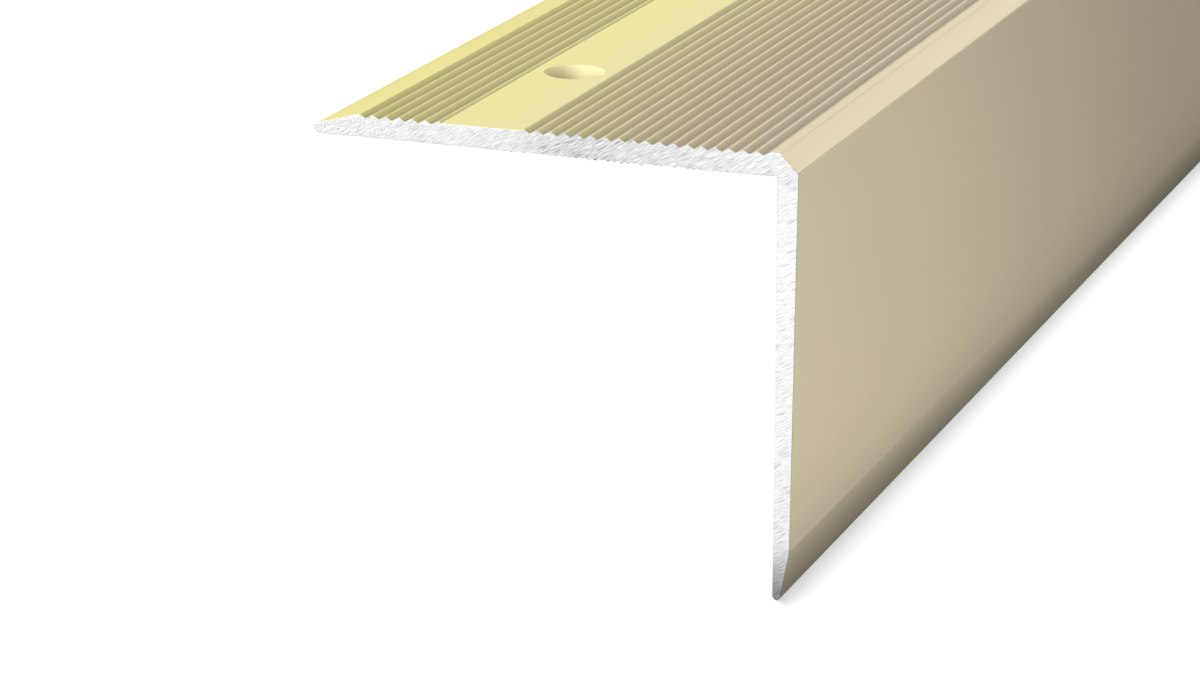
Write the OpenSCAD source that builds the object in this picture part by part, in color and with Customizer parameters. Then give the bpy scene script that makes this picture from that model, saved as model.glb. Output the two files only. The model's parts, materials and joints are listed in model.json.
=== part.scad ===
// Stair nosing: one bar of extruded, anodised aluminium angle that caps the
// front edge of a step. The tread leg is grooved against slipping and has a
// plain sunk strip with countersunk screw holes. The riser leg hangs down
// the front of the step. The bar is drawn as it rests unheld on a floor:
// on both free edges, corner up, with its length along Y.

/* [Bar] */
// Length of the bar as sold
bar_length = 1000; // [400:50:3000]
// Depth of the tread leg, from the riser's face to the back edge
tread_depth = 50.3; // [49:0.1:54]
// Height of the riser leg, from the ridges to the lower edge
riser_height = 44.9; // [25:0.1:70]
// Thickness of the tread leg under its ridges
tread_thickness = 2.25; // [1.9:0.05:3]
// Thickness of the riser leg at the front corner
riser_thickness = 2.1; // [1.9:0.05:2.6]
// Thickness of the riser leg where its lower bevel starts
foot_thickness = 1.7; // [1.5:0.05:1.8]

/* [Edges] */
// Radius that rounds the tread's back edge
back_radius = 0.5; // [0.4:0.02:0.6]
// Radius that rounds the riser's lower edge
foot_radius = 0.42; // [0.36:0.02:0.5]
// Height of the bevel along the riser's lower edge
foot_bevel = 5.1; // [3:0.1:8]
// Size of the chamfer on the front corner
front_chamfer = 1.85; // [1.2:0.05:2]
// Radius that softens both edges of the front chamfer
chamfer_radius = 0.4; // [0.2:0.05:0.8]

/* [Grooves] */
// Distance from one groove to the next
groove_pitch = 1.4; // [1.2:0.05:1.4]
// Depth of a groove below the ridges
groove_depth = 0.37; // [0.3:0.01:0.45]
// Radius at the bottom of a groove
groove_radius = 0.08; // [0.04:0.01:0.12]
// Radius along the top of a ridge
ridge_radius = 0.04; // [0.03:0.01:0.08]
// Number of grooves in front of the plain strip
front_grooves = 18; // [10:1:18]
// Number of grooves behind the plain strip
back_grooves = 6; // [3:1:6]
// Distance from the riser's face to the first groove
first_groove = 3.5; // [3.2:0.1:4]

/* [Screw strip] */
// Distance between the two ridges that border the plain strip
strip_width = 8.9; // [8:0.1:9]
// Depth of the plain strip below the ridges
strip_recess = 0.16; // [0.1:0.02:0.24]
// Distance from the riser's face to the row of screw holes
hole_setback = 32.35; // [31.8:0.05:32.9]
// Diameter of a screw hole
hole_diameter = 3.4; // [3:0.1:4]
// Diameter of a countersink at the face of the strip
sink_diameter = 6.3; // [5.2:0.1:6.6]
// Number of screw holes in the bar
hole_count = 5; // [2:1:8]
// Distance from each end of the bar to its first hole
end_distance = 25; // [15:1:50]

/* [Hidden] */
overrun = 1;
arc_steps = 10;
soft_steps = 4;
ridge_steps = 2;
groove_steps = 3;
round_fn = 64;
// Centres of the two rounded free edges, in the section
back_centre = [back_radius - tread_depth, back_radius - tread_thickness];
foot_centre = [foot_radius - riser_thickness, foot_radius - riser_height];
// Ridges on each side of the plain strip, and the last one at the back
front_ridge = -first_groove - (front_grooves - 1 / 2) * groove_pitch;
strip_ridge = front_ridge - strip_width;
last_ridge = strip_ridge - back_grooves * groove_pitch;
// Angle of a groove's flank, tangent to the ridge's and the groove's rounding
flank_drop = groove_depth - ridge_radius - groove_radius;
flank_span = norm([groove_pitch / 2, flank_drop]);
flank_angle = atan2(flank_drop, groove_pitch / 2)
    + asin((ridge_radius + groove_radius) / flank_span);
// Run of the short flank from a bordering ridge down to the plain strip
ridge_drop = ridge_radius * (1 - cos(flank_angle));
strip_flank = ridge_radius * sin(flank_angle)
    + (strip_recess - ridge_drop) / tan(flank_angle);
// Outward directions of the back bevel and of the foot's bevel
last_ridge_centre = [last_ridge, -ridge_radius];
foot_bevel_top = [foot_thickness - riser_thickness, foot_bevel - riser_height];
back_bevel_angle = 360 + heading(back_centre - last_ridge_centre)
    - acos((ridge_radius - back_radius) / norm(back_centre - last_ridge_centre));
foot_bevel_angle = 360 + heading(foot_centre - foot_bevel_top)
    + acos(-foot_radius / norm(foot_centre - foot_bevel_top));
// Distance from a chamfer's corner to the start of its rounding
chamfer_tangent = chamfer_radius * tan(45 / 2);
// Tilt at which both rounded edges stand on the floor
edge_span = foot_centre - back_centre;
rest_tilt = asin((foot_radius - back_radius) / norm(edge_span)) - heading(edge_span);
rest_lift = back_radius - tilted(back_centre)[1];
rest_shift = (back_radius - foot_radius - tilted(back_centre)[0] - tilted(foot_centre)[0]) / 2;
// Countersink of 90 degrees, and the even spacing of the screw holes
sink_depth = (sink_diameter - hole_diameter) / 2;
hole_spacing = (bar_length - 2 * end_distance) / (hole_count - 1);

// Direction of a vector, in degrees
function heading(v) = atan2(v[1], v[0]);

// Place of a point of the section once the bar is tilted to rest
function tilted(p) = [
    p[0] * cos(rest_tilt) - p[1] * sin(rest_tilt),
    p[0] * sin(rest_tilt) + p[1] * cos(rest_tilt)
];

// Points along an arc
function arc(centre, radius, from, to, steps) = [
    for (i = [0:steps])
        let (a = from + (to - from) * i / steps)
        centre + radius * [cos(a), sin(a)]
];

// Rounded top of a ridge, between two directions
function ridge(x, from, to) = arc([x, -ridge_radius], ridge_radius, from, to, ridge_steps);

// Rounded bottom of a groove
function groove(x) = arc(
    [x, groove_radius - groove_depth], groove_radius,
    flank_angle - 90, -flank_angle - 90, groove_steps
);

// Grooves with a whole ridge between each and the next
function groove_row(x, count) = [
    for (i = [0:count - 1])
        each concat(
            groove(x - i * groove_pitch),
            i < count - 1 ? whole_ridge(x - (i + 1 / 2) * groove_pitch) : []
        )
];

function whole_ridge(x) = ridge(x, 90 - flank_angle, 90 + flank_angle);

// Front corner, from the riser's face over the chamfer to the first groove
function front_corner() = concat(
    arc([-chamfer_radius, -front_chamfer - chamfer_tangent], chamfer_radius, 0, 45, soft_steps),
    arc([-front_chamfer - chamfer_tangent, -chamfer_radius], chamfer_radius, 45, 90, soft_steps),
    ridge(groove_pitch / 2 - first_groove, 90, 90 + flank_angle)
);

// Grooved top of the tread, with the plain strip sunk between two ridges
function tread_top() = concat(
    groove_row(-first_groove, front_grooves),
    whole_ridge(front_ridge),
    [[front_ridge - strip_flank, -strip_recess], [strip_ridge + strip_flank, -strip_recess]],
    whole_ridge(strip_ridge),
    groove_row(strip_ridge - groove_pitch / 2, back_grooves),
    ridge(last_ridge, 90 - flank_angle, back_bevel_angle)
);

// Section of the bar: riser's face at x = 0, ridges at y = 0
function section() = concat(
    [foot_bevel_top],
    front_corner(),
    tread_top(),
    arc(back_centre, back_radius, back_bevel_angle, 270, arc_steps),
    [[-riser_thickness, -tread_thickness]],
    arc(foot_centre, foot_radius, 180, foot_bevel_angle, arc_steps)
);

// Plain hole with a countersink for a flat-headed screw
module screw_hole() {
    translate([0, 0, -tread_thickness - overrun])
        cylinder(d = hole_diameter, h = tread_thickness + 2 * overrun, $fn = round_fn);
    translate([0, 0, -strip_recess - sink_depth])
        cylinder(
            d1 = hole_diameter, d2 = sink_diameter + 2 * overrun,
            h = sink_depth + overrun, $fn = round_fn
        );
}

// Bar with its tread level, its front face at x = 0 and its middle at y = 0
module level_bar() {
    difference() {
        rotate([90, 0, 0])
            linear_extrude(height = bar_length, center = true)
                polygon(section());
        for (i = [0:hole_count - 1])
            translate([-hole_setback, end_distance - bar_length / 2 + i * hole_spacing, 0])
                screw_hole();
    }
}

// Bar as it rests on its two free edges
module nosing() {
    color("#DDD09C")
        translate([rest_shift, 0, rest_lift])
            rotate([0, -rest_tilt, 0])
                level_bar();
}

nosing();
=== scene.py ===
# %% [markdown]
# # A stair nosing in champagne anodised aluminium
# A nosing caps the front edge of a step. This one is a single angle of aluminium: pressed through a die,
# drilled, countersunk, anodised and sawn to length. The CAD frame gives its exact shape, resting on both free
# edges with its corner up. This script gives it the finish that the die, the bath and the saw leave on it,
# paints light and shade into the colours of the skin, the countersinks and the cut, and lights it so that
# each long facet shows its own tone.

# %% Load the frame
import json
import math
import random

import bmesh
import bpy
from mathutils import Matrix, Vector


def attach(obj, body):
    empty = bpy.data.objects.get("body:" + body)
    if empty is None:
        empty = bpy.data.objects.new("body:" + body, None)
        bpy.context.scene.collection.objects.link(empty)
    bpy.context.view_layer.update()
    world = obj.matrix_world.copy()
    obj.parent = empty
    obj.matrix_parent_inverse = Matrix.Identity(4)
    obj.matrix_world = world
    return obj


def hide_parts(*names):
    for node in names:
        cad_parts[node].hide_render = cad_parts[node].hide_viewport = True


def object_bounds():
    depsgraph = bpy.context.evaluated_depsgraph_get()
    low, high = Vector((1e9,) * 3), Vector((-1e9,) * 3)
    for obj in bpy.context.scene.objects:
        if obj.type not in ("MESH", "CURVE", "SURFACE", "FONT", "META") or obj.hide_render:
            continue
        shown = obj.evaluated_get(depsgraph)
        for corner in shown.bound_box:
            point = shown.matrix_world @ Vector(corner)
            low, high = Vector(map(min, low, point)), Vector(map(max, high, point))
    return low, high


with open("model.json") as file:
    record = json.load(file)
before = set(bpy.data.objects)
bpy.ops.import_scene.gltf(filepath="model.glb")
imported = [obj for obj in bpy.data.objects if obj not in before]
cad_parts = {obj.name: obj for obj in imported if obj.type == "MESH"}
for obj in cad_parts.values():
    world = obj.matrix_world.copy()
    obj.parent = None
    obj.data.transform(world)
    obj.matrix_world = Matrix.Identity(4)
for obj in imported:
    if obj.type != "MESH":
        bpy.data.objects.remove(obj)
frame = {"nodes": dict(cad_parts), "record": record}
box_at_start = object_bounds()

MM = 0.001
node = frame["nodes"]["nosing"]
print("bar:", [round((high - low) / MM, 1) for low, high in zip(*box_at_start)], "mm")

# %% [markdown]
# ## One frame for the section
# An extrusion is designed with its tread level, so the shape, the light, the
# camera and the surface patterns are all placed in that level frame: x runs
# forward to the riser's face, y runs along the bar from the cut end and z is
# the height above the ridges. One matrix turns that frame into the pose of
# rest, in which both rounded edges stand on the floor. Working in the tilted
# pose would be possible, but then no size could be read off an axis.

# %% Sizes of the section
# Places that are closer than the fit are taken as one
FIT = 0.001 * MM
TREAD_DEPTH = 50.3 * MM
RISER_HEIGHT = 44.9 * MM
TREAD_THICKNESS = 2.25 * MM
RISER_THICKNESS = 2.1 * MM
BACK_RADIUS = 0.5 * MM
FOOT_RADIUS = 0.42 * MM
GROOVE_DEPTH = 0.37 * MM
STRIP_RECESS = 0.16 * MM
HALF_LENGTH = (box_at_start[1][1] - box_at_start[0][1]) / 2
print("legs:", round(TREAD_THICKNESS / MM, 2), "and", round(RISER_THICKNESS / MM, 2), "mm thick")

# %% Pose of rest, on both rounded edges
back_edge = Vector((BACK_RADIUS - TREAD_DEPTH, 0, BACK_RADIUS - TREAD_THICKNESS))
foot_edge = Vector((FOOT_RADIUS - RISER_THICKNESS, 0, FOOT_RADIUS - RISER_HEIGHT))
span = foot_edge - back_edge
tilt = math.asin((FOOT_RADIUS - BACK_RADIUS) / span.length) - math.atan2(span.z, span.x)
turn = Matrix.Rotation(-tilt, 4, "Y")
lift = BACK_RADIUS - (turn @ back_edge).z
shift = (BACK_RADIUS - FOOT_RADIUS - (turn @ back_edge).x - (turn @ foot_edge).x) / 2
level_to_rest = Matrix.Translation((shift, -HALF_LENGTH, lift)) @ turn
rest_to_level = level_to_rest.inverted()
print("tilt at rest:", round(math.degrees(tilt), 2), "degrees")

# %% [markdown]
# ## Colours and nodes
# Colours are written as the eye reads them, in sRGB. Blender mixes light in
# linear values, so one function turns them. A second function adds a shader
# node with its settings and links in one call. A socket is given by its name,
# or by its number, such as i6, where a node has several of one name. The
# setting called stops fills a colour ramp.

# %% Helpers for colours and shader nodes
BLEND = {"data_type": "RGBA", "blend_type": "MIX"}
MULTIPLY = {"data_type": "RGBA", "blend_type": "MULTIPLY"}


def linear(hex_colour):
    channels = [int(hex_colour[i:i + 2], 16) / 255 for i in (1, 3, 5)]
    return tuple(c / 12.92 if c <= 0.04045 else ((c + 0.055) / 1.055) ** 2.4 for c in channels) + (1,)


def set_stops(elements, stops):
    while len(elements) < len(stops):
        elements.new(1.0)
    for element, (place, colour) in zip(elements, stops):
        element.position = place
        element.color = linear(colour)


def add_node(tree, kind, settings=None, **inputs):
    made = tree.nodes.new(kind)
    for name, value in (settings or {}).items():
        if name == "stops":
            set_stops(made.color_ramp.elements, value)
        else:
            setattr(made, name, value)
    for name, value in inputs.items():
        key = int(name[1:]) if name[0] == "i" and name[1:].isdigit() else name.replace("_", " ")
        if isinstance(value, bpy.types.NodeSocket):
            tree.links.new(value, made.inputs[key])
        else:
            made.inputs[key].default_value = value
    return made


print("mid grey in linear light:", round(linear("#808080")[0], 3))

# %% [markdown]
# ## What the three metals share
# The bar has three surfaces of one metal: the pressed skin, the turned
# countersinks and the sawn end. One material with masks could do for all
# three, but three short ones are easier to read and to change. Each starts
# alike. A pattern has to lie along the bar, so a Mapping node turns the
# Object coordinates back into the level frame. Each also ends alike, as a
# metal with a colour, a roughness and a relief.

# %% Start of a material, in the level frame
def new_material(name):
    material = bpy.data.materials.new(name)
    material.use_nodes = True
    material.node_tree.nodes.clear()
    return material, material.node_tree


def level_place(tree):
    place = add_node(tree, "ShaderNodeTexCoord").outputs["Object"]
    return add_node(
        tree, "ShaderNodeMapping", Vector=place,
        Location=rest_to_level.to_translation(), Rotation=rest_to_level.to_euler(),
    ).outputs[0]


print("patterns turned about y:", round(math.degrees(rest_to_level.to_euler().y), 2), "degrees")


# %% Places on the section, and the end of a metal
# Along the tread, 0 is the back edge and 1 the riser's face. Down the riser,
# 0 is at the ridges and 1 at the lower edge.
def section_places(tree, level):
    axes = add_node(tree, "ShaderNodeSeparateXYZ", Vector=level)
    along_tread = add_node(
        tree, "ShaderNodeMapRange", Value=axes.outputs["X"], From_Min=-TREAD_DEPTH, From_Max=0.0,
    ).outputs[0]
    down_riser = add_node(
        tree, "ShaderNodeMapRange", Value=axes.outputs["Z"], From_Min=0.0, From_Max=-RISER_HEIGHT,
    ).outputs[0]
    return along_tread, down_riser


def finish_metal(tree, colour, rough, relief, relief_depth, strength):
    bump = add_node(
        tree, "ShaderNodeBump", Height=relief, Distance=relief_depth, Strength=strength,
    ).outputs[0]
    metal = add_node(
        tree, "ShaderNodeBsdfPrincipled",
        Base_Color=colour, Metallic=1.0, Roughness=rough, Normal=bump,
    )
    add_node(tree, "ShaderNodeOutputMaterial", Surface=metal.outputs[0])


print("ramps run over", round(TREAD_DEPTH / MM, 1), "and", round(RISER_HEIGHT / MM, 1), "mm")

# %% [markdown]
# ## Anodised skin
# The die presses fine lines along the bar, and the bath turns the metal to a pale champagne. The colour also
# holds painted light: a painted warm tint at the back of the tread, painted shade in the grooves and down the
# riser, and a painted highlight on the ridge tops. An image could hold all this, but a few ramps over the
# section, and a noise that is stretched along y, have no seam and no end.

# %% Tones of the extruded skin
# The champagne tint from the back edge to the riser's face, with a painted warm light towards the back and
# painted shade on the flat beside the chamfer
SKIN_TINT_AND_PAINTED_LIGHT = [
    (0.0, "#F6EB93"), (0.36, "#F4EAA5"), (0.75, "#EDDEB4"), (0.942, "#F2E4C0"),
    (0.945, "#E4D6B5"), (0.958, "#E4D6B5"), (0.966, "#EDDFBD"), (1.0, "#F2E6C3"),
]
# Painted shade, from a ridge's top to a groove's bottom
PAINTED_GROOVE_SHADE = [(0.0, "#FFFFFF"), (0.15, "#DCDCDC"), (1.0, "#BBBBBB")]
# Painted shade from the ridges down to the riser's lower edge: a step at the crease to the lower bevel, and
# darkest at the lower edge
PAINTED_RISER_SHADE = [
    (0.0, "#F6F6F6"), (0.05, "#EFEFEF"), (0.7, "#FCFCFC"), (0.8, "#F9F9F9"), (0.886, "#ECECEC"),
    (0.891, "#F2F2F2"), (0.95, "#D0D0D0"), (1.0, "#BBBBBB"),
]
# A painted highlight on the tops of the ridges, paler than their flanks
PAINTED_RIDGE_HIGHLIGHT = "#F8F6DC"


def skin_colour(tree, level):
    along_tread, down_riser = section_places(tree, level)
    tint = add_node(tree, "ShaderNodeValToRGB", {"stops": SKIN_TINT_AND_PAINTED_LIGHT}, Fac=along_tread).outputs[0]
    riser_shade = add_node(tree, "ShaderNodeValToRGB", {"stops": PAINTED_RISER_SHADE}, Fac=down_riser).outputs[0]
    depth = add_node(tree, "ShaderNodeAttribute", {"attribute_name": "groove_depth"}).outputs["Fac"]
    shade = add_node(tree, "ShaderNodeValToRGB", {"stops": PAINTED_GROOVE_SHADE}, Fac=depth).outputs[0]
    grooved = add_node(tree, "ShaderNodeMix", MULTIPLY, i0=1.0, i6=tint, i7=shade).outputs[2]
    body = add_node(tree, "ShaderNodeMix", MULTIPLY, i0=1.0, i6=grooved, i7=riser_shade).outputs[2]
    ridge = add_node(tree, "ShaderNodeAttribute", {"attribute_name": "ridge_top"}).outputs["Fac"]
    return add_node(tree, "ShaderNodeMix", BLEND, i0=ridge, i6=body, i7=linear(PAINTED_RIDGE_HIGHLIGHT)).outputs[2]


print("skin tones:", len(SKIN_TINT_AND_PAINTED_LIGHT), "over the tread,", len(PAINTED_RISER_SHADE), "down the riser")

# %% Material of the extruded skin
# Anodised aluminium as the die pressed it: to the eye a satin metal whose
# soft sheen runs along the bar. The real die lines are finer. They are drawn
# this wide so that they still break the sheen in the picture.
DIE_LINE_WIDTH = 0.25 * MM
DIE_LINE_LENGTH = 125 * MM
SKIN_RELIEF = 0.01 * MM
SKIN_BUMP = 0.1
SKIN_SMOOTH = 0.42
SKIN_ROUGH = 0.5


def anodised_skin():
    material, tree = new_material("aluminium_extruded_anodised_champagne")
    level = level_place(tree)
    along = add_node(
        tree, "ShaderNodeVectorMath", {"operation": "MULTIPLY"}, i0=level,
        i1=(1 / DIE_LINE_WIDTH, 1 / DIE_LINE_LENGTH, 1 / DIE_LINE_WIDTH),
    ).outputs[0]
    lines = add_node(tree, "ShaderNodeTexNoise", Vector=along, Scale=1.0, Detail=3.0).outputs[0]
    rough = add_node(
        tree, "ShaderNodeMapRange", Value=lines, To_Min=SKIN_SMOOTH, To_Max=SKIN_ROUGH,
    ).outputs[0]
    finish_metal(tree, skin_colour(tree, level), rough, lines, SKIN_RELIEF, SKIN_BUMP)
    return material


skin = anodised_skin()
print("skin:", len(skin.node_tree.nodes), "nodes")

# %% [markdown]
# ## Countersinks
# A countersink is turned into the bar after pressing, so it has no die lines, and its rough cone is given a
# painted shade that deepens towards the hole. It could share the skin's material, but then it would shine
# like the strip round it.

# %% Material of the countersinks
# Anodised aluminium as a countersink cuts it: to the eye a matt, duller champagne, with a painted shade that
# darkens it towards the hole. The tool marks are drawn coarser than the real ones, which no pixel would show.
TOOL_MARK = 0.25 * MM
SUNK_ROUGHNESS = 0.8
# The tone from the strip's level down to the underside, with painted shade deepening downwards
SUNK_TONES_AND_PAINTED_SHADE = [(0.0, "#DDD6AE"), (0.7, "#B8B18E"), (1.0, "#A8A282")]


def sunk_skin():
    material, tree = new_material("aluminium_countersunk_anodised_champagne")
    level = level_place(tree)
    height = add_node(tree, "ShaderNodeSeparateXYZ", Vector=level).outputs["Z"]
    depth = add_node(
        tree, "ShaderNodeMapRange", Value=height, From_Min=-STRIP_RECESS, From_Max=-TREAD_THICKNESS,
    ).outputs[0]
    tone = add_node(tree, "ShaderNodeValToRGB", {"stops": SUNK_TONES_AND_PAINTED_SHADE}, Fac=depth).outputs[0]
    marks = add_node(tree, "ShaderNodeTexNoise", Vector=level, Scale=1 / TOOL_MARK, Detail=2.0).outputs[0]
    finish_metal(tree, tone, SUNK_ROUGHNESS, marks, SKIN_RELIEF, SKIN_BUMP)
    return material


countersunk = sunk_skin()
print("countersinks:", len(countersunk.node_tree.nodes), "nodes")

# %% [markdown]
# ## Sawn end
# The saw cuts through the anodised bar, so its end is bare, bright metal. The
# teeth leave slanting streaks that bite deepest under the middle of the
# tread, and small torn pits towards the back edge. They are far shallower
# than a tenth of a millimetre. Real relief would need a very fine mesh for
# that, so they are drawn as colour and bump: one noise stretched along the
# slant for the streaks, and one round noise for the pits.

# %% Streaks that the saw's teeth leave
SAW_ANGLE = math.radians(28.4)
SAW_MARK_LENGTH = 1.43 * MM
SAW_MARK_WIDTH = 0.0625 * MM


def saw_streaks(tree, level):
    turned = add_node(
        tree, "ShaderNodeMapping", {"vector_type": "TEXTURE"}, Vector=level, Rotation=(0, -SAW_ANGLE, 0),
    ).outputs[0]
    along = add_node(
        tree, "ShaderNodeVectorMath", {"operation": "MULTIPLY"}, i0=turned,
        i1=(1 / SAW_MARK_LENGTH, 1 / SAW_MARK_LENGTH, 1 / SAW_MARK_WIDTH),
    ).outputs[0]
    return add_node(
        tree, "ShaderNodeTexNoise", Vector=along, Scale=1.0, Detail=4.0, Roughness=0.62,
    ).outputs[0]


print("saw marks are", round(SAW_MARK_LENGTH / SAW_MARK_WIDTH), "times as long as wide")

# %% Tone of the streaks
# How deep the teeth bite, along the tread
BITE_SHARE = [
    (0.0, "#606060"), (0.2, "#808080"), (0.42, "#A0A0A0"), (0.54, "#FFFFFF"),
    (0.66, "#D8D8D8"), (0.8, "#B8B8B8"), (0.95, "#707070"),
]
# The same down the riser, where only the tip is bitten
TIP_SHARE = [(0.0, "#000000"), (0.86, "#000000"), (0.93, "#E0E0E0"), (1.0, "#FFFFFF")]
# Streaks where the teeth bite deep, and where they only brush the metal
DEEP_TONES = [(0.3, "#58585C"), (0.43, "#B8B8BA"), (0.53, "#ECECED"), (0.65, "#FFFFFF")]
LIGHT_TONES = [(0.3, "#B8B8BA"), (0.43, "#E8E8E9"), (0.53, "#FBFBFB"), (0.65, "#FFFFFF")]


def streak_tone(tree, streaks, along_tread, down_riser):
    on_tread = add_node(tree, "ShaderNodeValToRGB", {"stops": BITE_SHARE}, Fac=along_tread).outputs[0]
    at_tip = add_node(tree, "ShaderNodeValToRGB", {"stops": TIP_SHARE}, Fac=down_riser).outputs[0]
    bite = add_node(tree, "ShaderNodeMath", {"operation": "MAXIMUM"}, i0=on_tread, i1=at_tip).outputs[0]
    deep = add_node(tree, "ShaderNodeValToRGB", {"stops": DEEP_TONES}, Fac=streaks).outputs[0]
    light = add_node(tree, "ShaderNodeValToRGB", {"stops": LIGHT_TONES}, Fac=streaks).outputs[0]
    return add_node(tree, "ShaderNodeMix", BLEND, i0=bite, i6=light, i7=deep).outputs[2]


print("darkest streak, in linear light:", round(linear(DEEP_TONES[0][1])[0], 3))

# %% Tone of the pits
PIT_SIZE = 0.18 * MM
PIT_TONES = [(0.3, "#C8C8C8"), (0.5, "#F6F6F6"), (0.6, "#FFFFFF")]
NO_PIT_TONE = "#F6F6F6"
# How much the pits show, along the tread
PIT_SHARE = [(0.0, "#F0F0F0"), (0.18, "#D8D8D8"), (0.26, "#8C8C8C"), (1.0, "#808080")]


def pit_tone(tree, level, along_tread):
    pits = add_node(tree, "ShaderNodeTexNoise", Vector=level, Scale=1 / PIT_SIZE, Detail=2.0).outputs[0]
    pitted = add_node(tree, "ShaderNodeValToRGB", {"stops": PIT_TONES}, Fac=pits).outputs[0]
    share = add_node(tree, "ShaderNodeValToRGB", {"stops": PIT_SHARE}, Fac=along_tread).outputs[0]
    return add_node(tree, "ShaderNodeMix", BLEND, i0=share, i6=linear(NO_PIT_TONE), i7=pitted).outputs[2]


print("pits:", round(PIT_SIZE / MM, 2), "mm across")

# %% Material of the sawn end
# Bare aluminium as a saw leaves it: to the eye a bright, frosty grey with
# fine dark streaks, much lighter than the anodised skin beside it. Streaks
# and pits have the size at which they show in the photograph.
SAWN_RELIEF = 0.02 * MM
SAWN_BUMP = 0.35
SAWN_SMOOTH = 0.62
SAWN_ROUGH = 0.74
# Painted light on the cut down the riser: brighter from its middle down to near the tip, and a painted shade
# at its tip
PAINTED_RISER_CUT_LIGHT = [
    (0.0, "#F0F0F0"), (0.05, "#F0F0F0"), (0.1, "#F7F7F7"), (0.25, "#FBFBFB"), (0.5, "#FFFFFF"),
    (0.86, "#FFFFFF"), (0.93, "#E0E0DE"), (0.98, "#BCBCBA"), (1.0, "#B4B4B2"),
]


def sawn_end():
    material, tree = new_material("aluminium_sawn_raw")
    level = level_place(tree)
    along_tread, down_riser = section_places(tree, level)
    streaks = saw_streaks(tree, level)
    streaked = streak_tone(tree, streaks, along_tread, down_riser)
    pitted = pit_tone(tree, level, along_tread)
    riser_cut_light = add_node(tree, "ShaderNodeValToRGB", {"stops": PAINTED_RISER_CUT_LIGHT}, Fac=down_riser).outputs[0]
    cut = add_node(tree, "ShaderNodeMix", MULTIPLY, i0=1.0, i6=streaked, i7=pitted).outputs[2]
    colour = add_node(tree, "ShaderNodeMix", MULTIPLY, i0=1.0, i6=cut, i7=riser_cut_light).outputs[2]
    rough = add_node(
        tree, "ShaderNodeMapRange", Value=streaks, To_Min=SAWN_ROUGH, To_Max=SAWN_SMOOTH,
    ).outputs[0]
    finish_metal(tree, colour, rough, streaks, SAWN_RELIEF, SAWN_BUMP)
    return material


sawn = sawn_end()
print("sawn end:", len(sawn.node_tree.nodes), "nodes")

# %% [markdown]
# ## Section of the bar
# A bar from a die is one outline drawn out to a length, and the CAD node has
# that outline on its end. Its mesh is loose triangles, so a copy is merged,
# and the border of the end is followed from edge to edge. The outline could
# be drawn again from its radii, but reading it keeps the scene true to the
# CAD.

# %% Outline of the section, read from the CAD node's end
NODE_MERGE = 0.002 * MM
END_BAND = 0.01 * MM


def end_outline():
    mesh = bmesh.new()
    mesh.from_mesh(node.data)
    bmesh.ops.remove_doubles(mesh, verts=mesh.verts, dist=NODE_MERGE)
    end = {f for f in mesh.faces if all(abs(v.co.y + HALF_LENGTH) < END_BAND for v in f.verts)}
    border = [e for e in mesh.edges if sum(f in end for f in e.link_faces) == 1]
    neighbours = {}
    for edge in border:
        for one, other in (edge.verts, reversed(edge.verts)):
            neighbours.setdefault(one, []).append(other)
    start = next(iter(neighbours))
    followed, previous, here = [start], None, start
    while True:
        after = next(v for v in neighbours[here] if v is not previous)
        if after is start:
            break
        followed.append(after)
        previous, here = here, after
    points = [rest_to_level @ v.co for v in followed]
    mesh.free()
    return [(p.x, p.z) for p in points]


outline = end_outline()
print("section outline:", len(outline), "points")

# %% [markdown]
# ## Bar
# The outline becomes one face, and extruding it along y makes the bar. Planes
# then part it into lengths, one round each screw hole and a thin one that
# the burrs hang from. A hole or a burr then changes one small plain face.
# Cut straight into faces as long as the bar, it would leave them with
# outlines that are hard to fill.

# %% Bar drawn out to its length
BURR_DEPTH = 0.3 * MM
HOLE_MARGIN = 6 * MM
holes = [m for m in frame["record"]["mounts"] if m["kind"] == "bore"]
hole_spots = [rest_to_level @ Vector(hole["pos_m"]) for hole in holes]


def verts_of(geometry):
    return [item for item in geometry if isinstance(item, bmesh.types.BMVert)]


def mesh_object(name, mesh):
    data = bpy.data.meshes.new(name)
    mesh.to_mesh(data)
    mesh.free()
    made = bpy.data.objects.new(name, data)
    bpy.context.scene.collection.objects.link(made)
    return made


def drawn_bar():
    mesh = bmesh.new()
    near = mesh.faces.new([mesh.verts.new((x, 0, z)) for x, z in outline])
    far = bmesh.ops.extrude_face_region(mesh, geom=[near])["geom"]
    bmesh.ops.translate(mesh, vec=(0, 2 * HALF_LENGTH, 0), verts=verts_of(far))
    beside_holes = [spot.y + side * HOLE_MARGIN for spot in hole_spots for side in (-1, 1)]
    for y in (BURR_DEPTH, *beside_holes):
        bmesh.ops.bisect_plane(
            mesh, geom=[*mesh.verts, *mesh.edges, *mesh.faces], dist=FIT,
            plane_co=(0, y, 0), plane_no=(0, 1, 0),
        )
    bmesh.ops.recalc_face_normals(mesh, faces=mesh.faces)
    return mesh_object("nosing_bar", mesh)


bar = drawn_bar()
print("bar drawn out:", len(bar.data.polygons), "faces")

# %% [markdown]
# ## Screw holes
# Each hole is drilled through the plain strip and sunk at 90 degrees for a
# flat screw head. Half the drill's profile, spun round the hole's axis, gives
# hole and countersink in one form. A Boolean takes them all out of the bar,
# much as the drill does. Bridging rings of vertices would work too, but each
# ring would have to be fitted into the strip by hand.

# %% Form that the drill and the countersink take out
HOLE_SIDES = 96
SINK_RADIUS = 3.15 * MM
OVERRUN = 1 * MM


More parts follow.
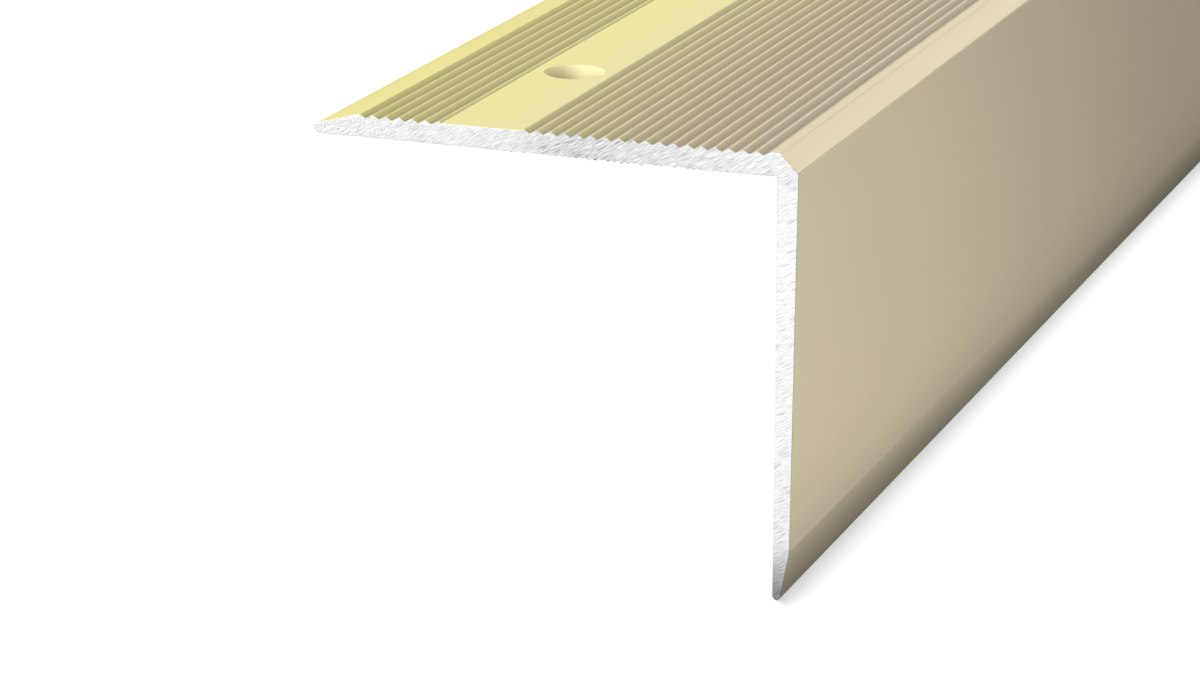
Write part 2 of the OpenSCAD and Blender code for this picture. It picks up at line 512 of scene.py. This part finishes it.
def hole_cutters():
    mesh = bmesh.new()
    for hole, spot in zip(holes, hole_spots):
        radius = hole["dims"]["r_mm"] * MM
        cone_end = -STRIP_RECESS - (SINK_RADIUS - radius)
        profile = [
            (0, -TREAD_THICKNESS - OVERRUN), (radius, -TREAD_THICKNESS - OVERRUN), (radius, cone_end),
            (SINK_RADIUS + OVERRUN, -STRIP_RECESS + OVERRUN), (0, -STRIP_RECESS + OVERRUN),
        ]
        verts = [mesh.verts.new((spot.x + r, spot.y, z)) for r, z in profile]
        edges = [mesh.edges.new(pair) for pair in zip(verts, verts[1:])]
        bmesh.ops.spin(
            mesh, geom=verts + edges, cent=(spot.x, spot.y, 0), axis=(0, 0, 1),
            angle=2 * math.pi, steps=HOLE_SIDES, use_merge=True,
        )
    bmesh.ops.remove_doubles(mesh, verts=mesh.verts, dist=FIT)
    bmesh.ops.recalc_face_normals(mesh, faces=mesh.faces)
    return mesh_object("hole_cutters", mesh)


cutters = hole_cutters()
print("cutters:", len(holes), "with", HOLE_SIDES, "sides each")

# %% Countersunk holes
def apply_modifiers(made):
    shown = made.evaluated_get(bpy.context.evaluated_depsgraph_get())
    result = bpy.data.meshes.new_from_object(shown)
    made.modifiers.clear()
    made.data = result


drilling = bar.modifiers.new("holes", "BOOLEAN")
drilling.operation = "DIFFERENCE"
drilling.solver = "EXACT"
drilling.object = cutters
apply_modifiers(bar)
bpy.data.objects.remove(cutters)
print("holes cut - faces:", len(bar.data.polygons))

# %% [markdown]
# ## Burrs
# Where the teeth leave the metal they push a ragged edge out, and here it
# hangs under the tread, most of all below the middle. Its outline shows
# against the white, which bump can't change, so it is made in the mesh: the
# border of the cut is divided, and every second point is moved down by
# chance. The mesh that is opened here stays open until its normals are done.

# %% Burrs under the tread's cut edge
BAR_MERGE = 0.0005 * MM
BURR_CUTS = 141
BURR_HEIGHT = 0.3 * MM
BURR_SEED = 7
# Shares of the full height, each with its place along x in mm
BURR_SHARES = [(-49, 0.1), (-34, 0.25), (-28, 0.9), (-18, 1.0), (-8, 0.6), (-2, 0.3)]


def burr_share(x):
    for (x0, share0), (x1, share1) in zip(BURR_SHARES, BURR_SHARES[1:]):
        if x0 * MM <= x <= x1 * MM:
            return share0 + (share1 - share0) * (x / MM - x0) / (x1 - x0)
    return 0


def hang_burrs(mesh):
    borders = [
        e for e in mesh.edges
        if all(abs(v.co.z + TREAD_THICKNESS) < FIT for v in e.verts)
        and any(all(abs(v.co.y - y) < FIT for v in e.verts) for y in (0, BURR_DEPTH))
    ]
    divided = bmesh.ops.subdivide_edges(mesh, edges=borders, cuts=BURR_CUTS)["geom_inner"]
    at_cut = {v for v in verts_of(divided) if abs(v.co.y) < FIT}
    dice = random.Random(BURR_SEED)
    for vert in sorted(at_cut, key=lambda v: v.co.x)[::2]:
        vert.co.z -= BURR_HEIGHT * dice.random() * burr_share(vert.co.x)
    return at_cut


bar_mesh = bmesh.new()
bar_mesh.from_mesh(bar.data)
bmesh.ops.remove_doubles(bar_mesh, verts=bar_mesh.verts, dist=BAR_MERGE)
print("points along the cut edge:", len(hang_burrs(bar_mesh)))

# %% [markdown]
# ## Small edges
# No cut edge is quite sharp. The rim of each countersink gets a small round
# by a bevel, and each end of the bar a small chamfer: the end face is inset,
# and its old border is drawn back along y. A bevel could do that too, but an
# inset keeps the section's many short edges in order. Both catch a thin line
# of light, which a sharp edge never does.

# %% Rims of the countersinks
RIM_EDGE = 0.05 * MM
RIM_BAND = 0.01 * MM


def hole_distance(place):
    return min(math.hypot(place.x - spot.x, place.y - spot.y) for spot in hole_spots)


def round_rims(mesh):
    rims = [
        e for e in mesh.edges
        if all(abs(v.co.z + STRIP_RECESS) < FIT for v in e.verts)
        and all(hole_distance(v.co) < SINK_RADIUS + RIM_BAND for v in e.verts)
    ]
    bmesh.ops.bevel(
        mesh, geom=rims, offset=RIM_EDGE, offset_type="OFFSET", segments=2, profile=0.5,
        affect="EDGES", material=-1, clamp_overlap=True,
    )
    return rims


print("rim edges rounded:", len(round_rims(bar_mesh)))

# %% Chamfers of the sawn ends
SAW_EDGE = 0.04 * MM
SAWN_SLOT = 1


def chamfer_ends(mesh):
    ends = [f for f in mesh.faces if abs(abs(f.calc_center_median().y - HALF_LENGTH) - HALF_LENGTH) < FIT]
    for end in ends:
        ring = bmesh.ops.inset_region(mesh, faces=[end], thickness=SAW_EDGE, use_even_offset=True)["faces"]
        for face in [end, *ring]:
            face.material_index = SAWN_SLOT
        for vert in {v for f in ring for v in f.verts} - set(end.verts):
            vert.co.y += SAW_EDGE if vert.co.y < HALF_LENGTH else -SAW_EDGE
    return ends


print("ends chamfered:", len(chamfer_ends(bar_mesh)))

# %% [markdown]
# ## Marks that the materials read
# The grooves get painted shade at their bottom and a painted highlight on their ridges. By place alone a
# material would have to know each groove, so two attributes on the mesh say how deep each corner lies in a
# groove and which faces are the top of a ridge. The faces of each hole get the countersinks' material.

# %% Attributes of the grooves, and the countersinks' faces
RIDGE_BAND = 0.03 * MM
GROOVES_FROM = -45.4 * MM
GROOVES_TO = -2.6 * MM
LEAN_OF_FLANK = 0.2
LEVEL_FACE = 0.99
SUNK_SLOT = 2


def mark_faces(mesh):
    depth = mesh.loops.layers.float.new("groove_depth")
    ridge = mesh.loops.layers.float.new("ridge_top")
    for face in mesh.faces:
        middle = face.calc_center_median()
        among_grooves = GROOVES_FROM < middle.x < GROOVES_TO and middle.z > -GROOVE_DEPTH
        in_groove = among_grooves and abs(face.normal.x) > LEAN_OF_FLANK
        on_ridge = in_groove and middle.z > -RIDGE_BAND
        if hole_distance(middle) < SINK_RADIUS and abs(face.normal.z) < LEVEL_FACE:
            face.material_index = SUNK_SLOT
        for loop in face.loops:
            loop[depth] = min(1, -loop.vert.co.z / GROOVE_DEPTH) if in_groove else 0
            loop[ridge] = 1 if on_ridge else 0


mark_faces(bar_mesh)
print("faces in the holes:", sum(f.material_index == SUNK_SLOT for f in bar_mesh.faces))

# %% [markdown]
# ## Shading
# The section joins wide plane facets by small arcs. Shaded smooth, each arc
# would bend the light of the facet beside it, and shaded flat, it would show
# its steps. So an edge between two plane facets is a crease, gentle turns
# are smooth, and the Weighted Normal modifier weighs each normal by area:
# the wide facet wins, and the small arc carries the whole turn.

# %% Creases between plane facets
# A facet is plane if it is wider than an arc's and runs along the bar. Two
# of them crease at the smallest turn, and any other edge past the soft turn.
ARC_FACET = 0.25 * MM
LENGTHWISE = 0.001
CREASE_TURN = math.radians(0.5)
SOFT_TURN = math.radians(25)


def is_plane_facet(face):
    first = face.verts[0].co
    reach = max(math.hypot(v.co.x - first.x, v.co.z - first.z) for v in face.verts)
    return reach > ARC_FACET and abs(face.normal.y) < LENGTHWISE


def mark_creases(mesh):
    mesh.normal_update()
    planes = {f for f in mesh.faces if is_plane_facet(f)}
    for face in mesh.faces:
        face.smooth = True
    for edge in mesh.edges:
        bend = edge.calc_face_angle(math.pi)
        crease = bend > CREASE_TURN and all(f in planes for f in edge.link_faces)
        edge.smooth = bend < SOFT_TURN and not crease


mark_creases(bar_mesh)
print("creases:", sum(not e.smooth for e in bar_mesh.edges), "of", len(bar_mesh.edges), "edges")

# %% Bar in the pose of rest, with weighted normals
# At this weight the areas count as they are
EVEN_WEIGHT = 50

bmesh.ops.transform(bar_mesh, matrix=level_to_rest, verts=bar_mesh.verts)
bmesh.ops.recalc_face_normals(bar_mesh, faces=bar_mesh.faces)
bar_mesh.to_mesh(bar.data)
bar_mesh.free()
weighing = bar.modifiers.new("weighted_normals", "WEIGHTED_NORMAL")
weighing.mode = "FACE_AREA"
weighing.weight = EVEN_WEIGHT
weighing.keep_sharp = True
apply_modifiers(bar)
print("bar shaped:", len(bar.data.polygons), "faces")

# %% [markdown]
# ## Bar as a piece
# The order of the materials gives the slots that the faces were marked with.
# The bar rides on the only body and takes the place of the CAD node.

# %% Materials and body of the bar
for made in (skin, sawn, countersunk):
    bar.data.materials.append(made)
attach(bar, "root")
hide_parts("nosing")
print("materials of the bar:", [made.name for made in bar.data.materials])

# %% [markdown]
# ## Camera
# The photograph was taken from beyond the cut end, a little to the right and
# from above, with a long lens. The camera is placed in the level frame and
# turned with the bar, so the picture keeps the photograph's view although
# the bar lies tilted on the floor.

# %% Camera
CAMERA_AZIMUTH = math.radians(20.9065)
CAMERA_ELEVATION = math.radians(16.967)
CAMERA_SPOT = (114.98 * MM, -353.47 * MM, 95.33 * MM)
CLIP_START = 10 * MM
# Blender takes the lens and the sensor in millimetres
FOCAL_LENGTH = 122.045
SENSOR_WIDTH = 36

towards_camera = Vector((
    math.sin(CAMERA_AZIMUTH) * math.cos(CAMERA_ELEVATION),
    -math.cos(CAMERA_AZIMUTH) * math.cos(CAMERA_ELEVATION),
    math.sin(CAMERA_ELEVATION),
))
aim = (-towards_camera).to_track_quat("-Z", "Y").to_matrix().to_4x4()
camera = bpy.data.objects.new("camera", bpy.data.cameras.new("camera"))
camera.data.lens = FOCAL_LENGTH
camera.data.sensor_width = SENSOR_WIDTH
camera.data.clip_start = CLIP_START
camera.matrix_world = level_to_rest @ Matrix.Translation(CAMERA_SPOT) @ aim
bpy.context.scene.collection.objects.link(camera)
bpy.context.scene.camera = camera
print("lens:", FOCAL_LENGTH, "mm, sensor:", SENSOR_WIDTH, "mm wide")

# %% [markdown]
# ## Floor and background
# The bar lies in front of plain white. More lamps could make a floor white,
# but they would wash out the bar, so the floor and the sky are white by
# themselves: to the camera, and through anything clear. The metal gets only a
# part of that white to reflect. With all of it, every facet would come out
# nearly alike, and here the riser is half as bright as the tread. The white
# also drowns the floor's own shadow, so a narrow soft band beside the riser's
# lower edge is drawn into it.

# %% White that the camera sees
METAL_SHARE = 0.1


def white_share(tree):
    path = add_node(tree, "ShaderNodeLightPath")
    clear = add_node(
        tree, "ShaderNodeMath", {"operation": "ADD"},
        i0=path.outputs["Is Camera Ray"], i1=path.outputs["Is Transmission Ray"],
    ).outputs[0]
    return add_node(
        tree, "ShaderNodeMath", {"operation": "MULTIPLY_ADD"},
        i0=path.outputs["Is Glossy Ray"], i1=METAL_SHARE, i2=clear,
    ).outputs[0]


print("share of the white that the metal reflects:", METAL_SHARE)

# %% Colour of the floor's glow
SHADOW_WIDTH = 3.8 * MM
FOOT_LINE = box_at_start[1][0] - FOOT_RADIUS
# White with a painted shadow, from the riser's lower edge outwards, over the width of the shadow
FLOOR_GLOW_AND_PAINTED_SHADOW = [
    (0.0, "#FBFBFB"), (0.04, "#BEBEBE"), (0.25, "#CECECE"), (0.5, "#E6E6E6"), (0.75, "#F2F2F2"),
    (1.0, "#FBFBFB"),
]


def glow_colour(tree):
    place = add_node(tree, "ShaderNodeTexCoord").outputs["Object"]
    axes = add_node(tree, "ShaderNodeSeparateXYZ", i0=place)
    outward = add_node(
        tree, "ShaderNodeMapRange", Value=axes.outputs["X"],
        From_Min=FOOT_LINE, From_Max=FOOT_LINE + SHADOW_WIDTH,
    ).outputs[0]
    from_middle = add_node(tree, "ShaderNodeMath", {"operation": "ABSOLUTE"}, i0=axes.outputs["Y"]).outputs[0]
    beside_bar = add_node(
        tree, "ShaderNodeMapRange", Value=from_middle,
        From_Min=HALF_LENGTH + MM, From_Max=HALF_LENGTH - MM,
    ).outputs[0]
    shadow = add_node(tree, "ShaderNodeValToRGB", {"stops": FLOOR_GLOW_AND_PAINTED_SHADOW}, Fac=outward).outputs[0]
    return add_node(
        tree, "ShaderNodeMix", BLEND, i0=beside_bar, i6=linear(FLOOR_GLOW_AND_PAINTED_SHADOW[0][1]), i7=shadow,
    ).outputs[2]


print("shadow on the floor:", round(SHADOW_WIDTH / MM, 1), "mm wide")

# %% Floor
# White studio paper, matt and without a grain: to the eye white, but for the painted shadow beside the riser
FLOOR_REACH = 20
PAPER_TONE = "#D8D8D8"


def floor_paper():
    material, tree = new_material("paper_matt_white")
    glow = add_node(tree, "ShaderNodeEmission", Color=glow_colour(tree), Strength=white_share(tree))
    matt = add_node(tree, "ShaderNodeBsdfDiffuse", Color=linear(PAPER_TONE))
    both = add_node(tree, "ShaderNodeAddShader", i0=matt.outputs[0], i1=glow.outputs[0])
    add_node(tree, "ShaderNodeOutputMaterial", Surface=both.outputs[0])
    return material


floor_mesh = bmesh.new()
bmesh.ops.create_grid(floor_mesh, x_segments=1, y_segments=1, size=FLOOR_REACH)
floor = mesh_object("floor", floor_mesh)
floor.data.materials.append(floor_paper())
print("floor:", round(floor.dimensions.x), "m wide")

# %% Sky
SKY_LIGHT = 0.02

world = bpy.data.worlds.new("studio")
world.use_nodes = True
sky_tree = world.node_tree
sky_tree.nodes.clear()
soft = add_node(sky_tree, "ShaderNodeBackground", Color=linear("#FFFFFF"), Strength=SKY_LIGHT)
white = add_node(sky_tree, "ShaderNodeBackground", Color=linear("#FFFFFF"), Strength=1.0)
sky = add_node(
    sky_tree, "ShaderNodeMixShader", i0=white_share(sky_tree), i1=soft.outputs[0], i2=white.outputs[0],
)
add_node(sky_tree, "ShaderNodeOutputWorld", Surface=sky.outputs[0])
bpy.context.scene.world = world
print("light of the sky on the bar:", SKY_LIGHT)

# %% [markdown]
# ## Lamps
# A bar of satin metal shows its lamps as broad soft tones, one for each way
# that a facet faces. So the lamps are square and soft, and each has its own
# facets: two from the left for the tread and the cut, four from beyond the
# far end for the long reflections that run towards the camera, and four small
# ones near the riser, which let its near end stay brighter than its far end.
# One big lamp would be simpler, but it would light every facet alike.

# %% Lamps
# Places and targets are in the level frame, in metres
LAMPS = [
    dict(name="top_left", spot=(-0.264, 0.15, 0.658), target=(-0.025, 0.1, 0), side=0.5, watts=4.63),
    dict(name="front_left", spot=(-0.25, -0.7, 0.35), target=(-0.01, 0, -0.01), side=0.5, watts=11.7),
    dict(name="back_left", spot=(-0.3, 1.0, 0.35), target=(-0.03, 0.1, 0), side=0.35, watts=0.51),
    dict(name="back", spot=(0, 1.2, 0.55), target=(-0.01, 0.1, 0), side=0.35, watts=0.66),
    dict(name="back_right", spot=(0.45, 1.2, 0.45), target=(0, 0.1, 0), side=0.35, watts=1.3),
    dict(name="low_right", spot=(0.75, 1.2, -0.05), target=(0, 0.1, 0), side=0.35, watts=0.76),
    dict(name="right", spot=(0.2, 0.2, -0.12), target=(0, 0.02, -0.03), side=0.12, watts=0.028),
    dict(name="near_low", spot=(0.15, 0.2, -0.08), target=(0, 0.02, -0.02), side=0.1, watts=0.0085),
    dict(name="near_front", spot=(0.12, 0.12, -0.05), target=(0, 0.02, -0.02), side=0.08, watts=0.0197),
    dict(name="near_high", spot=(0.08, 0.15, -0.02), target=(0, 0.02, -0.02), side=0.06, watts=0.0029),
]


def add_lamp(name, spot, target, side, watts):
    data = bpy.data.lights.new(name, "AREA")
    data.shape = "SQUARE"
    data.size = side
    data.energy = watts
    lamp = bpy.data.objects.new(name, data)
    towards_target = (Vector(target) - Vector(spot)).to_track_quat("-Z", "Y").to_matrix().to_4x4()
    lamp.matrix_world = level_to_rest @ Matrix.Translation(spot) @ towards_target
    lamp.visible_camera = False
    bpy.context.scene.collection.objects.link(lamp)


for values in LAMPS:
    add_lamp(**values)
print("lamps:", len(LAMPS), "with", round(sum(values["watts"] for values in LAMPS), 2), "W in all")

# %% [markdown]
# ## Hand over
# With the Standard view the colours stay as they were written.

# %% Hand over
bpy.context.scene.view_settings.view_transform = "Standard"
